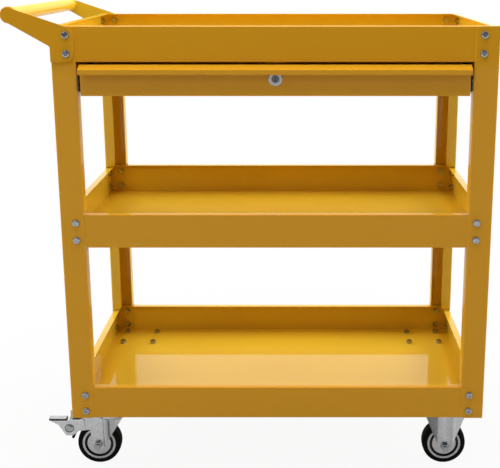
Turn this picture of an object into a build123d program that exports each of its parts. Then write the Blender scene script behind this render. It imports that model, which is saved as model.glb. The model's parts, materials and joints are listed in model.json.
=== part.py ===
from build123d import *
import math
import os

# Three-shelf steel tool trolley with one locking drawer, a side handle and four casters.
# Millimetres, +Z up, X along the length with the handle at -X, front at -Y.
# Pieces are drawn about the middle of the frame and moved to the origin at the end.

# Frame and trays
frame_length = 690.0
frame_depth = 400.0
caster_height = 105.0
tray_spacing = 298.0
tray_count = 3
tray_height = 54.5
tray_sheet = 1.2
tray_lip = 12.0
tray_edge_radius = 2.6
tray_fold_radius = 1.2
lip_seam = 0.6
seam_margin = 3.0
seam_angle = 45.0

# Corner posts
post_sheet = 1.5
post_flange = 38.0
post_lip_depth = 21.0
post_lip_length = 19.0
post_bend_radius = 2.5
post_corner_radius = 8.0
lip_end_gap = 3.0
lip_end_radius = 6.0

# Frame screws and nuts
screw_radius = 3.0
screw_head_radius = 6.0
screw_head_height = 3.3
screw_head_round = 2.4
screw_inset = 24.5
screw_spacing = 28.5
screw_tip = 2.0
hole_clearance = 0.3
thread_clearance = 0.05
recess_length = 6.4
recess_width = 1.5
recess_depth = 1.6
nut_flats = 10.0
nut_height = 5.0

# Side handle
handle_reach = 72.0
handle_radius = 11.0
handle_rise = 28.0
handle_wall = 1.5
arm_sheet = 2.5
arm_inset = 2.0
arm_corner_radius = 13.0
arm_elbow_radius = 4.0
arm_elbow_drop = 30.5
arm_shoulder_drop = 4.0

# Drawer
drawer_top_gap = 3.5
drawer_height = 49.5
drawer_side_gap = 4.5
drawer_face_setback = 3.0
drawer_rear_gap = 18.0
front_sheet = 1.2
front_bend_radius = 0.8
front_return = 11.0
pull_reach = 14.0
pull_drop = 6.5
pull_face = 6.5
pull_return = 6.0
box_sheet = 1.0
box_top_drop = 5.0
box_edge_radius = 1.2
side_panel_sheet = 1.2
side_panel_end_gap = 1.5

# Ball slides of the drawer
slide_width = 12.0
rail_height = 35.0
rail_sheet = 1.2
rail_bend_radius = 1.8
rail_flange = 9.5
rail_front_gap = 1.0
slide_rise = 24.0
ball_radius = 2.0
ball_clearance = 0.1
ball_pitch = 14.0
cage_sheet = 0.6
cage_length = 104.0
cage_bend_radius = 1.0
rivet_radius = 2.0
rivet_head_radius = 3.8
rivet_head_height = 0.6
rivet_tail_height = 1.2
rivet_inset = 10.0
runner_rivet_inset = 60.0

# Drawer lock
lock_flange_radius = 11.0
lock_flange_height = 2.0
lock_flange_round = 1.2
lock_barrel_radius = 9.0
lock_barrel_length = 20.0
lock_drop = 22.5
lock_nut_flats = 23.0
lock_nut_height = 3.5
plug_radius = 6.0
plug_clearance = 0.08
plug_recess = 0.4
plug_tail_radius = 4.0
plug_tail_length = 2.4
keyway_width = 1.4
keyway_height = 8.0
keyway_depth = 7.0
cam_sheet = 2.0
cam_width = 13.0
cam_length = 20.0
cam_screw_radius = 1.6
cam_screw_depth = 6.0
cam_screw_head_radius = 5.0
cam_screw_head_height = 2.0
strike_sheet = 1.5
strike_bend_radius = 2.2
strike_width = 32.0
strike_flange = 14.0
strike_hang = 13.0
strike_clearance = 1.0

# Casters
wheel_radius = 37.5
wheel_width = 25.0
caster_inset_x = 57.0
caster_inset_y = 50.0
swivel_trail = 23.0
plate_length = 78.0
plate_width = 72.0
plate_sheet = 2.5
plate_corner_radius = 6.0
bolt_spacing_x = 60.0
bolt_spacing_y = 54.0
fork_sheet = 2.2
fork_gap = 2.0
fork_crown_drop = 16.0
fork_crown_front = 21.0
fork_crown_back = 36.0
fork_end_radius = 10.0
fork_rib_width = 9.0
fork_rib_height = 2.6
fork_rib_start = 16.0
fork_panel_width = 26.0
fork_panel_lift = 7.0
rigid_fork_width = 76.0
race_radius = 15.0
race_ball_radius = 3.0
race_groove = 1.0
race_ball_count = 12
race_outer_radius = 22.0
race_skirt = 2.0
race_skirt_gap = 0.6
kingpin_radius = 5.0
kingpin_head_radius = 8.0
kingpin_head_height = 1.5
kingpin_end_height = 3.0
running_clearance = 0.06
end_clearance = 0.3

# Wheels and axles
axle_radius = 4.0
axle_head_radius = 6.5
axle_head_height = 4.0
axle_nut_flats = 13.0
axle_nut_height = 6.0
axle_tip = 2.0
hub_sleeve_radius = 8.0
hub_side_gap = 0.4
hub_disc_radius = 20.5
hub_disc_sheet = 1.2
hub_disc_round = 0.6
core_groove_outer = 24.3
core_groove_depth = 4.0
core_radius = 29.0
core_inset = 1.0
tyre_round = 4.5
seat_clearance = 0.05

# Wheel brakes on the swivel casters
brake_pin_back = 48.0
brake_pin_height = 70.0
brake_pin_radius = 3.0
brake_pin_head_radius = 5.0
brake_pin_head_height = 1.5
brake_ear_radius = 8.0
lever_sheet = 2.0
lever_side_gap = 0.4
lever_reach = 82.0
lever_top = 85.0
lever_front = 22.0
lever_bottom = 56.5
lever_heel = 54.0
lever_toe = 43.0
lever_waist_back = 66.5
lever_waist_height = 76.0
lever_nose_height = 72.0
lever_web_length = 9.0
pedal_width = 12.0
pedal_length = 30.0
tread_height = 2.5
tread_overhang = 1.5
tread_round = 1.0
pad_width = 22.0
pad_gap = 6.5
pad_thickness = 4.0
pad_low_angle = 12.0
pad_high_angle = 29.0
pad_foot_height = 2.0
pad_foot_reach = 2.0

# Sizes worked out from those above
half_length = frame_length / 2
half_depth = frame_depth / 2
tray_bottoms = [caster_height + level * tray_spacing for level in range(tray_count)]
frame_top = tray_bottoms[-1] + tray_height
top_tray_bottom = tray_bottoms[-1]
tray_length = frame_length - 2 * post_sheet
tray_depth = frame_depth - 2 * post_sheet
lip_face = half_length - post_flange

bar_x = -half_length - handle_reach + handle_radius
bar_z = frame_top + handle_rise - handle_radius

drawer_top = top_tray_bottom - drawer_top_gap
drawer_bottom = drawer_top - drawer_height
drawer_half_width = lip_face - drawer_side_gap
drawer_face = -half_depth + drawer_face_setback
box_front = drawer_face + front_sheet
box_back = half_depth - post_sheet - drawer_rear_gap
box_half_width = lip_face - slide_width
box_bottom = drawer_bottom + front_sheet
box_top = drawer_top - box_top_drop
slide_z = drawer_bottom + slide_rise
rail_front = box_front + rail_front_gap
rail_back = -rail_front
runner_back = box_back
ball_gap = 2 * (ball_radius + ball_clearance)
runner_height = rail_height - 2 * (rail_sheet + ball_gap)
ball_rise = runner_height / 2 + ball_radius + ball_clearance
ball_x = lip_face - slide_width / 2

lock_z = drawer_top - lock_drop
plug_front = drawer_face - lock_flange_height + plug_recess
barrel_back = drawer_face + lock_barrel_length
cam_front = barrel_back + end_clearance
cam_back = cam_front + cam_sheet

axle_z = wheel_radius
caster_x = half_length - caster_inset_x
caster_y = half_depth - caster_inset_y
plate_bottom = caster_height - plate_sheet
fork_inner = wheel_width / 2 + fork_gap
fork_outer = fork_inner + fork_sheet
crown_top = caster_height - fork_crown_drop
crown_bottom = crown_top - fork_sheet
lever_inner = fork_outer + lever_side_gap
lever_outer = lever_inner + lever_sheet

# Middle of the whole object's box, which becomes the origin
left_end = bar_x - handle_radius
right_end = half_length + screw_head_height
front_end = drawer_face - pull_reach - front_sheet
rear_end = half_depth + arm_sheet + screw_head_height
middle_x = (left_end + right_end) / 2
middle_y = (front_end + rear_end) / 2


def block(low, high):
    """Box between two opposite corners."""
    size = [top - bottom for bottom, top in zip(low, high)]
    centre = [(top + bottom) / 2 for bottom, top in zip(low, high)]
    return Pos(*centre) * Box(*size)


def rod_x(radius, y, z, x_low, x_high):
    """Cylinder along X."""
    return Pos((x_low + x_high) / 2, y, z) * Rot(0, 90, 0) * Cylinder(radius, x_high - x_low)


def rod_y(radius, x, z, y_low, y_high):
    """Cylinder along Y."""
    return Pos(x, (y_low + y_high) / 2, z) * Rot(90, 0, 0) * Cylinder(radius, y_high - y_low)


def rod_z(radius, x, y, z_low, z_high):
    """Cylinder along Z."""
    return Pos(x, y, (z_low + z_high) / 2) * Cylinder(radius, z_high - z_low)


def slab(face, z_low, z_high):
    """Outline in X and Y, raised along Z."""
    return Pos(0, 0, z_low) * extrude(face, amount=z_high - z_low)


def plate_xz(face, y_low, y_high):
    """Outline or section in X and Z, drawn out along Y."""
    return Pos(0, y_high, 0) * extrude(Plane.XZ * face, amount=y_high - y_low)


def bar_yz(face, x_low, x_high):
    """Outline in Y and Z, drawn out along X."""
    return Pos(x_low, 0, 0) * extrude(Plane.YZ * face, amount=x_high - x_low)


def folded_sheet(points, radius, thickness, side):
    """Section of a folded sheet: a line with rounded bends, thickened to one side."""
    path = FilletPolyline(*points, radius=radius)
    return make_face(offset(path, amount=thickness, side=side))


def polygon(points):
    """Flat face inside straight edges."""
    return make_face(Polyline(*points, close=True))


def round_corner(face, corner, radius):
    """Face with the corner nearest to a point rounded off."""
    nearest = face.vertices().sort_by_distance((corner[0], corner[1], 0))[0]
    return fillet(nearest, radius)


def tangent_point(point, centre, radius, turn):
    """Where a line from a point touches a circle, on the side that turn gives."""
    away_x = point[0] - centre[0]
    away_y = point[1] - centre[1]
    angle = math.atan2(away_y, away_x) + turn * math.acos(radius / math.hypot(away_x, away_y))
    return (centre[0] + radius * math.cos(angle), centre[1] + radius * math.sin(angle))


def hexagon(flats):
    """Regular six-sided face, given its width over flats."""
    return RegularPolygon(flats / 2, 6, major_radius=False)


def gathered(solids):
    """Separate solids kept together in one node."""
    return Compound(children=list(solids))


def mirror_x(part):
    return mirror(part, about=Plane.YZ)


def mirror_y(part):
    return mirror(part, about=Plane.XZ)


# Frame screws


def frame_screw_places():
    """Each screw's place, with its local +Z out of the post's face, and whether it holds a handle arm."""
    places = []
    for bottom in tray_bottoms:
        for rise in (-screw_spacing / 2, screw_spacing / 2):
            z = bottom + tray_height / 2 + rise
            for side in (-1, 1):
                x = side * (half_length - screw_inset)
                y = side * (half_depth - screw_inset)
                on_arm = side < 0 and bottom == top_tray_bottom
                places.append((Pos(x, -half_depth, z) * Rot(90, 0, 0), on_arm))
                places.append((Pos(x, half_depth, z) * Rot(-90, 0, 0), on_arm))
                places.append((Pos(-half_length, y, z) * Rot(0, -90, 0), False))
                places.append((Pos(half_length, y, z) * Rot(0, 90, 0), False))
    return places


def pan_screw(grip):
    """Round-headed screw along Z with a cross recess; its head sits on Z = 0."""
    head = Cylinder(screw_head_radius, screw_head_height, align=(Align.CENTER, Align.CENTER, Align.MIN))
    head = fillet(head.edges().sort_by(Axis.Z)[-1], screw_head_round)
    for turn in (0, 90):
        slot = Box(recess_length, recess_width, 2 * recess_depth)
        head -= Pos(0, 0, screw_head_height) * Rot(0, 0, turn) * slot
    return head + rod_z(screw_radius, 0, 0, -grip - nut_height - screw_tip, 0)


def hex_nut(grip):
    """Six-sided nut on the screw's far side, with its seat at the grip's depth."""
    nut = slab(hexagon(nut_flats), -grip - nut_height, -grip)
    return nut - rod_z(screw_radius + thread_clearance, 0, 0, -grip - 2 * nut_height, 0)


def frame_screw_holes():
    """Cutters for the holes that the frame screws pass."""
    depth = post_flange / 2
    hole = rod_z(screw_radius + hole_clearance, 0, 0, -depth, depth)
    return [place * hole for place, on_arm in frame_screw_places()]


def make_frame_screws():
    plain = pan_screw(post_sheet + tray_sheet)
    long = Pos(0, 0, arm_sheet) * pan_screw(arm_sheet + post_sheet + tray_sheet)
    return gathered(place * (long if on_arm else plain) for place, on_arm in frame_screw_places())


def make_frame_nuts():
    nut = hex_nut(post_sheet + tray_sheet)
    return gathered(place * nut for place, on_arm in frame_screw_places())


# Posts, trays and handle


def corner_rounding(along_x, z_edge, z_sign):
    """Cutter that rounds a flange's free corner at the post's top or foot."""
    radius = post_corner_radius
    reach = post_sheet * 2
    start = post_flange - radius
    z_centre = z_edge - z_sign * radius
    z_low, z_high = sorted((z_centre, z_edge + z_sign * reach))
    if along_x:
        square = block((start, -reach, z_low), (post_flange + reach, reach, z_high))
        return square - rod_y(radius, start, z_centre, -reach, reach)
    square = block((-reach, start, z_low), (reach, post_flange + reach, z_high))
    return square - rod_x(radius, start, z_centre, -reach, reach)


def make_post():
    """Front left post: an angle with inward lips that stop at each tray."""
    section = folded_sheet(
        [
            (post_lip_length, post_flange),
            (0, post_flange),
            (0, 0),
            (post_flange, 0),
            (post_flange, post_lip_depth),
        ],
        post_bend_radius, post_sheet, Side.LEFT)
    post = slab(section, caster_height, frame_top)
    for bottom in tray_bottoms:
        low = (post_sheet, post_sheet, bottom - lip_end_gap)
        high = (2 * post_flange, 2 * post_flange, bottom + tray_height + lip_end_gap)
        post -= block(low, high)
    lip_ends = post.edges().filter_by(Axis.X).filter_by_position(Axis.Y, post_lip_depth, post_lip_depth)
    lip_ends += post.edges().filter_by(Axis.Y).filter_by_position(Axis.X, post_lip_length, post_lip_length)
    post = fillet(lip_ends, lip_end_radius)
    for along_x in (True, False):
        post -= corner_rounding(along_x, frame_top, 1)
        post -= corner_rounding(along_x, caster_height, -1)
    return Pos(-half_length, -half_depth, 0) * post


def make_tray(bottom):
    """Open tray folded from one sheet, with its rim turned inwards."""
    top = bottom + tray_height
    shell = block((-tray_length / 2, -tray_depth / 2, bottom), (tray_length / 2, tray_depth / 2, top))
    shell = fillet(shell.edges().filter_by(Axis.Z), tray_edge_radius)
    ends = shell.faces().filter_by(Axis.Z)
    shell = fillet([edge for face in ends for edge in face.edges()], tray_fold_radius)
    inner_x = tray_length / 2 - tray_sheet
    inner_y = tray_depth / 2 - tray_sheet
    mouth_x = tray_length / 2 - tray_lip
    mouth_y = tray_depth / 2 - tray_lip
    shell -= block((-inner_x, -inner_y, bottom + tray_sheet), (inner_x, inner_y, top - tray_sheet))
    shell -= block((-mouth_x, -mouth_y, top - 2 * tray_sheet), (mouth_x, mouth_y, top + tray_sheet))
    seam_start = -2 * lip_seam
    seam_end = tray_lip - seam_margin
    seam = Box((seam_end - seam_start) * math.sqrt(2), lip_seam, 2 * tray_sheet + lip_seam)
    for x_side in (-1, 1):
        for y_side in (-1, 1):
            x = x_side * (mouth_x + (seam_start + seam_end) / 2)
            y = y_side * (mouth_y + (seam_start + seam_end) / 2)
            shell -= Pos(x, y, top) * Rot(0, 0, seam_angle * x_side * y_side) * seam
    return shell


def arm_outline():
    """Handle arm seen from the front: a strip round the bar's end that widens to the post."""
    left = -half_length
    right = left + post_flange - arm_inset
    low = top_tray_bottom
    centre = (bar_x, bar_z)
    elbow = (left, frame_top - arm_elbow_drop)
    shoulder = (right, frame_top - arm_shoulder_drop)
    lower = tangent_point(elbow, centre, handle_radius, -1)
    upper = tangent_point(shoulder, centre, handle_radius, 1)
    face = polygon([lower, elbow, (left, low), (right, low), shoulder, upper])
    face = round_corner(face, (right, low), arm_corner_radius)
    face = round_corner(face, shoulder, arm_corner_radius)
    face = round_corner(face, elbow, arm_elbow_radius)
    return face + Pos(*centre) * Circle(handle_radius)


def make_handle_arm():
    return plate_xz(arm_outline(), -half_depth - arm_sheet, -half_depth)


def make_handle_bar():
    tube = rod_y(handle_radius, bar_x, bar_z, -half_depth, half_depth)
    return tube - rod_y(handle_radius - handle_wall, bar_x, bar_z, -half_depth, half_depth)


# Drawer


def make_drawer_front():
    """Front panel folded from one sheet, with a full-width pull hooked over its top."""
    bend_top = drawer_top - front_sheet
    pull_edge = drawer_face - pull_reach
    pull_low = bend_top - pull_drop - pull_face
    section = folded_sheet(
        [
            (drawer_face + front_return, drawer_bottom),
            (drawer_face, drawer_bottom),
            (drawer_face, bend_top),
            (pull_edge, bend_top - pull_drop),
            (pull_edge, pull_low),
            (pull_edge + pull_return, pull_low),
        ],
        [front_sheet + front_bend_radius] + 3 * [front_bend_radius], front_sheet, Side.RIGHT)
    panel = bar_yz(section, -drawer_half_width, drawer_half_width)
    return panel - lock_hole()


def lock_hole():
    """Cutter for the hole that the lock's barrel passes."""
    return rod_y(lock_barrel_radius + hole_clearance, 0, lock_z, drawer_face - pull_reach, barrel_back)


def make_drawer_box():
    """Open drawer tray behind the front panel."""
    box = block((-box_half_width, box_front, box_bottom), (box_half_width, box_back, box_top))
    box = fillet(box.edges().filter_by(Axis.Z), box_edge_radius)
    box = fillet(box.faces().sort_by(Axis.Z)[0].edges(), front_bend_radius)
    low = (-box_half_width + box_sheet, box_front + box_sheet, box_bottom + box_sheet)
    high = (box_half_width - box_sheet, box_back - box_sheet, box_top + box_sheet)
    box -= block(low, high)
    return box - lock_hole() - runner_rivet_holes()


def make_side_panel():
    """Right side panel behind the drawer's rail, from post to post and up to the top tray."""
    inner = lip_face + post_sheet
    reach = half_depth - post_sheet - side_panel_end_gap
    low = (inner, -reach, drawer_bottom)
    panel = block(low, (inner + side_panel_sheet, reach, top_tray_bottom))
    return panel - lip_rivet_holes()


def rail_section():
    """Fixed rail on the right: a channel open towards the drawer."""
    half = rail_height / 2
    tip = lip_face - rail_flange
    return folded_sheet(
        [
            (tip, slide_z - half),
            (lip_face, slide_z - half),
            (lip_face, slide_z + half),
            (tip, slide_z + half),
        ],
        rail_bend_radius, rail_sheet, Side.LEFT)


def runner_section():
    """Moving runner on the right: a smaller channel on the drawer's side, open towards the rail."""
    half = runner_height / 2
    tip = box_half_width + rail_flange
    return folded_sheet(
        [
            (tip, slide_z - half),
            (box_half_width, slide_z - half),
            (box_half_width, slide_z + half),
            (tip, slide_z + half),
        ],
        rail_bend_radius, rail_sheet, Side.RIGHT)


def cage_section():
    """Ball cage on the right: a thin channel that lies between the rail and the runner."""
    room = (lip_face - rail_sheet) - (box_half_width + rail_flange)
    web = lip_face - rail_sheet - (room - cage_sheet) / 2
    tip = ball_x - ball_radius
    half = ball_rise + cage_sheet / 2
    return folded_sheet(
        [
            (tip, slide_z - half),
            (web, slide_z - half),
            (web, slide_z + half),
            (tip, slide_z + half),
        ],
        cage_bend_radius, cage_sheet, Side.LEFT)


def rail_rivet_places():
    """Rivet places along the fixed rail, one in each post's lip."""
    return [-half_depth + rivet_inset + post_sheet, half_depth - rivet_inset - post_sheet]


def runner_rivet_places():
    """Rivet places along the runner."""
    return [box_front + runner_rivet_inset, box_back - runner_rivet_inset]


def lip_rivet(y):
    """Flat rivet through the right rail, the post's lip and the side panel."""
    inner = lip_face - rail_sheet
    outer = lip_face + post_sheet + side_panel_sheet
    rivet = rod_x(rivet_radius, y, slide_z, inner - rivet_head_height, outer + rivet_tail_height)
    rivet += rod_x(rivet_head_radius, y, slide_z, inner - rivet_head_height, inner)
    return rivet + rod_x(rivet_head_radius, y, slide_z, outer, outer + rivet_tail_height)


def runner_rivet(y):
    """Rivet through the right runner and the drawer's side."""
    inner = box_half_width - box_sheet
    outer = box_half_width + rail_sheet
    rivet = rod_x(rivet_radius, y, slide_z, inner - rivet_tail_height, outer + rivet_head_height)
    rivet += rod_x(rivet_head_radius, y, slide_z, inner - rivet_tail_height, inner)
    return rivet + rod_x(rivet_head_radius, y, slide_z, outer, outer + rivet_head_height)


def lip_rivet_holes():
    radius = rivet_radius + thread_clearance
    return [rod_x(radius, y, slide_z, -half_length, half_length) for y in rail_rivet_places()]


def runner_rivet_holes():
    radius = rivet_radius + thread_clearance
    return [rod_x(radius, y, slide_z, -half_length, half_length) for y in runner_rivet_places()]


def make_rail():
    return plate_xz(rail_section(), rail_front, rail_back) - lip_rivet_holes()


def make_runner():
    return plate_xz(runner_section(), rail_front, runner_back) - runner_rivet_holes()


def make_cage():
    """Cage strip with two rows of balls, each ball loose in its hole."""
    strip = plate_xz(cage_section(), -cage_length / 2, cage_length / 2)
    count = int((cage_length - ball_pitch) / ball_pitch) + 1
    first = -(count - 1) * ball_pitch / 2
    balls = []
    for step in range(count):
        y = first + step * ball_pitch
        for side in (-1, 1):
            z = slide_z + side * ball_rise
            strip -= rod_z(ball_radius + ball_clearance, ball_x, y, z - cage_sheet, z + cage_sheet)
            balls.append(Pos(ball_x, y, z) * Sphere(ball_radius))
    return gathered(strip.solids() + [ball.solid() for ball in balls])


def make_lip_rivets():
    rivets = [lip_rivet(y) for y in rail_rivet_places()]
    return gathered(rivets + [mirror_x(rivet) for rivet in rivets])


def make_runner_rivets():
    rivets = [runner_rivet(y) for y in runner_rivet_places()]
    return gathered(rivets + [mirror_x(rivet) for rivet in rivets])


# Drawer lock


def make_lock_barrel():
    """Lock housing with a round flange in front of the panel."""
    flange = rod_y(lock_flange_radius, 0, lock_z, drawer_face - lock_flange_height, drawer_face)
    flange = fillet(flange.edges().sort_by(Axis.Y)[0], lock_flange_round)
    barrel = flange + rod_y(lock_barrel_radius, 0, lock_z, drawer_face, barrel_back)
    return barrel - rod_y(plug_radius + plug_clearance, 0, lock_z, drawer_face - pull_reach, cam_back)


def make_lock_nut():
    wall = box_front + box_sheet
    nut = plate_xz(Pos(0, lock_z) * hexagon(lock_nut_flats), wall, wall + lock_nut_height)
    return nut - rod_y(lock_barrel_radius + thread_clearance, 0, lock_z, drawer_face, barrel_back)


def make_lock_plug():
    """Turning plug with a keyway in front and a tail that carries the cam."""
    plug = rod_y(plug_radius, 0, lock_z, plug_front, cam_front)
    plug += rod_y(plug_tail_radius, 0, lock_z, cam_front, cam_front + plug_tail_length)
    half_width = keyway_width / 2
    half_height = keyway_height / 2
    low = (-half_width, plug_front - keyway_depth, lock_z - half_height)
    high = (half_width, plug_front + keyway_depth, lock_z + half_height)
    screw_end = cam_front + plug_tail_length - cam_screw_depth
    bore = rod_y(cam_screw_radius + thread_clearance, 0, lock_z, screw_end, cam_back + plug_tail_length)
    return plug - block(low, high) - bore


def make_lock_cam():
    """Flat cam that points to the left when unlocked and turns up behind the strike."""
    outline = Pos(-cam_length / 2, lock_z) * Rectangle(cam_length, cam_width)
    outline += Pos(0, lock_z) * Circle(cam_width / 2)
    outline -= Pos(0, lock_z) * Circle(plug_tail_radius + thread_clearance)
    return plate_xz(outline, cam_front, cam_back)


def make_cam_screw():
    seat = cam_front + plug_tail_length
    shank = rod_y(cam_screw_radius, 0, lock_z, seat - cam_screw_depth, seat)
    return shank + rod_y(cam_screw_head_radius, 0, lock_z, seat, seat + cam_screw_head_height)


def make_lock_strike():
    """Angle under the top tray that the turned cam catches on."""
    back = cam_front - strike_clearance
    section = folded_sheet(
        [
            (back - strike_flange, top_tray_bottom),
            (back, top_tray_bottom),
            (back, top_tray_bottom - strike_hang),
        ],
        strike_bend_radius, strike_sheet, Side.RIGHT)
    return bar_yz(section, -strike_width / 2, strike_width / 2)


# Casters, drawn with the kingpin or the plate's middle on X = 0, Y = 0


def caster_bolt_spots():
    """Bolt places on a caster's plate."""
    return [(sx * bolt_spacing_x / 2, sy * bolt_spacing_y / 2) for sx in (-1, 1) for sy in (-1, 1)]


def caster_spots():
    """Middles of the four caster plates."""
    return [(sx * caster_x, sy * caster_y) for sx in (-1, 1) for sy in (-1, 1)]


def caster_bolt_holes():
    """Cutters for every caster bolt through the bottom tray's floor."""
    radius = screw_radius + hole_clearance
    holes = []
    for x, y in caster_spots():
        for dx, dy in caster_bolt_spots():
            holes.append(rod_z(radius, x + dx, y + dy, plate_bottom, caster_height + tray_sheet * 2))
    return holes


def make_caster_bolts():
    """Bolts put in from below, with their heads under the plates."""
    bolt = Rot(180, 0, 0) * pan_screw(plate_sheet + tray_sheet)
    spots = [(x + dx, y + dy) for x, y in caster_spots() for dx, dy in caster_bolt_spots()]
    return gathered(Pos(x, y, plate_bottom) * bolt for x, y in spots)


def make_caster_nuts():
    nut = Rot(180, 0, 0) * hex_nut(plate_sheet + tray_sheet)
    spots = [(x + dx, y + dy) for x, y in caster_spots() for dx, dy in caster_bolt_spots()]
    return gathered(Pos(x, y, plate_bottom) * nut for x, y in spots)


def top_plate():
    """Flat caster plate with four bolt holes."""
    outline = RectangleRounded(plate_length, plate_width, plate_corner_radius)
    plate = slab(outline, plate_bottom, caster_height)
    radius = screw_radius + hole_clearance
    return plate - [rod_z(radius, x, y, plate_bottom, caster_height) for x, y in caster_bolt_spots()]


def race_z():
    """Height of the swivel balls' centres."""
    return crown_top + race_ball_radius - race_groove


def make_swivel_plate():
    """Plate with the upper ball race and a skirt round it."""
    cup_low = race_z() + race_ball_radius - race_groove
    skirt_low = crown_top + race_skirt_gap
    plate = top_plate() + rod_z(race_outer_radius, 0, 0, cup_low, plate_bottom)
    plate += rod_z(race_outer_radius + race_skirt, 0, 0, skirt_low, plate_bottom)
    plate -= rod_z(race_outer_radius, 0, 0, skirt_low, cup_low)
    groove = Torus(race_radius, race_ball_radius + ball_clearance)
    plate -= Pos(0, 0, race_z()) * groove
    head_low = caster_height - kingpin_head_height
    plate -= rod_z(kingpin_head_radius + thread_clearance, 0, 0, head_low, caster_height)
    return plate - rod_z(kingpin_radius + thread_clearance, 0, 0, skirt_low, caster_height)


def kingpin():
    """Rivet that the fork turns on, held in the plate."""
    low = crown_bottom - end_clearance
    pin = rod_z(kingpin_radius, 0, 0, low - kingpin_end_height, caster_height)
    pin += rod_z(kingpin_head_radius, 0, 0, caster_height - kingpin_head_height, caster_height)
    return pin + rod_z(kingpin_head_radius, 0, 0, low - kingpin_end_height, low)


def race_balls():
    """Ring of balls between the plate and the fork."""
    step = 2 * math.pi / race_ball_count
    balls = []
    for index in range(race_ball_count):
        x = race_radius * math.cos(index * step)
        y = race_radius * math.sin(index * step)
        balls.append(Pos(x, y, race_z()) * Sphere(race_ball_radius))
    return balls


def swivel_leg_outline():
    """Side of the swivel fork: a leg tapered to the axle, with an ear at the back for the brake pin."""
    axle = (-swivel_trail, axle_z)
    pin = (-swivel_trail - brake_pin_back, brake_pin_height)
    front = (fork_crown_front, crown_top)
    back = (-fork_crown_back, crown_top)
    crotch = (-fork_crown_back, brake_pin_height - brake_ear_radius / 2)
    leg = polygon(
        [
            back,
            crotch,
            tangent_point(crotch, axle, fork_end_radius, 1),
            tangent_point(front, axle, fork_end_radius, -1),
            front,
        ])
    leg += Pos(*axle) * Circle(fork_end_radius)
    ear = polygon(
        [
            back,
            tangent_point(back, pin, brake_ear_radius, 1),
            tangent_point(crotch, pin, brake_ear_radius, -1),
            crotch,
        ])
    return leg + ear + Pos(*pin) * Circle(brake_ear_radius)


def make_swivel_fork():
    """Pressed fork: a crown with the lower ball race, and two legs with a rib each."""
    axle_x = -swivel_trail
    outline = swivel_leg_outline()
    fork = block((-fork_crown_back, -fork_outer, crown_bottom), (fork_crown_front, fork_outer, crown_top))
    fork = fillet(fork.edges().filter_by(Axis.Z), plate_corner_radius)
    fork += rod_z(race_outer_radius + race_skirt, 0, 0, crown_bottom, crown_top)
    rib_low = axle_z + fork_rib_start
    rib_x = axle_x + fork_end_radius
    for side in (-1, 1):
        inner, outer = sorted((side * fork_inner, side * fork_outer))
        leg = plate_xz(outline, inner, outer)
        far = side * (fork_outer + fork_rib_height)
        y_low, y_high = sorted((side * fork_inner, far))
        rib = block((rib_x, y_low, rib_low), (rib_x + fork_rib_width, y_high, crown_top))
        rib = fillet(rib.edges().filter_by(Axis.Z), fork_rib_height / 2)
        fork += leg + rib
    groove = Torus(race_radius, race_ball_radius + ball_clearance)
    fork -= Pos(0, 0, race_z()) * groove
    fork -= rod_z(kingpin_radius + running_clearance, 0, 0, crown_bottom, crown_top)
    reach = 2 * fork_outer
    fork -= rod_y(axle_radius + thread_clearance, axle_x, axle_z, -reach, reach)
    pin_x = axle_x - brake_pin_back
    return fork - rod_y(brake_pin_radius + thread_clearance, pin_x, brake_pin_height, -reach, reach)


def rigid_leg_outline():
    """Side of the rigid fork: a leg tapered from the plate to the axle."""
    axle = (0, axle_z)
    front = (rigid_fork_width / 2, plate_bottom)
    back = (-rigid_fork_width / 2, plate_bottom)
    leg = polygon(
        [
            back,
            tangent_point(back, axle, fork_end_radius, 1),
            tangent_point(front, axle, fork_end_radius, -1),
            front,
        ])
    return leg + Pos(*axle) * Circle(fork_end_radius)


def make_rigid_fork():
    """Rigid caster body: a top plate with two legs, each with a raised middle panel."""
    fork = top_plate()
    outline = rigid_leg_outline()
    half_panel = fork_panel_width / 2
    half_width = rigid_fork_width / 2
    raised = fork_inner + fork_panel_lift
    section = folded_sheet(
        [
            (-half_width, fork_inner),
            (-half_panel, raised),
            (half_panel, raised),
            (half_width, fork_inner),
        ],
        fork_sheet, fork_sheet, Side.LEFT)
    leg = slab(section, 0, plate_bottom) & plate_xz(outline, fork_inner, raised + 2 * fork_sheet)
    fork += leg + mirror_y(leg)
    reach = 2 * raised
    return fork - rod_y(axle_radius + thread_clearance, 0, axle_z, -reach, reach)


def axle_bolt(half_grip):
    """Axle bolt along Y with its head at the back and its nut in front."""
    front = -half_grip - axle_nut_height - axle_tip
    bolt = rod_y(axle_radius, 0, axle_z, front, half_grip)
    return bolt + rod_y(axle_head_radius, 0, axle_z, half_grip, half_grip + axle_head_height)


def axle_nut(half_grip):
    nut = plate_xz(Pos(0, axle_z) * hexagon(axle_nut_flats), -half_grip - axle_nut_height, -half_grip)
    return nut - rod_y(axle_radius + thread_clearance, 0, axle_z, -2 * half_grip, 0)


def axle_set(half_grip):
    """Axle bolt with its nut."""
    return [axle_bolt(half_grip), axle_nut(half_grip)]


def make_tyre():
    half = wheel_width / 2
    tyre = rod_y(wheel_radius, 0, axle_z, -half, half)
    rims = tyre.edges().filter_by(GeomType.CIRCLE)
    tyre = fillet(rims, tyre_round)
    return tyre - rod_y(core_radius + seat_clearance, 0, axle_z, -half, half)


def make_wheel_core():
    """Moulded centre with a groove round each hub disc."""
    half = wheel_width / 2 - core_inset
    core = rod_y(core_radius, 0, axle_z, -half, half)
    for side in (-1, 1):
        low, high = sorted((side * half, side * (half - core_groove_depth)))
        groove = rod_y(core_groove_outer, 0, axle_z, low, high)
        groove -= rod_y(hub_disc_radius, 0, axle_z, low, high)
        seat_low, seat_high = sorted((side * half, side * (half - hub_disc_sheet)))
        core -= groove
        core -= rod_y(hub_disc_radius, 0, axle_z, seat_low, seat_high)
    return core - rod_y(hub_sleeve_radius + seat_clearance, 0, axle_z, -half, half)


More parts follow.
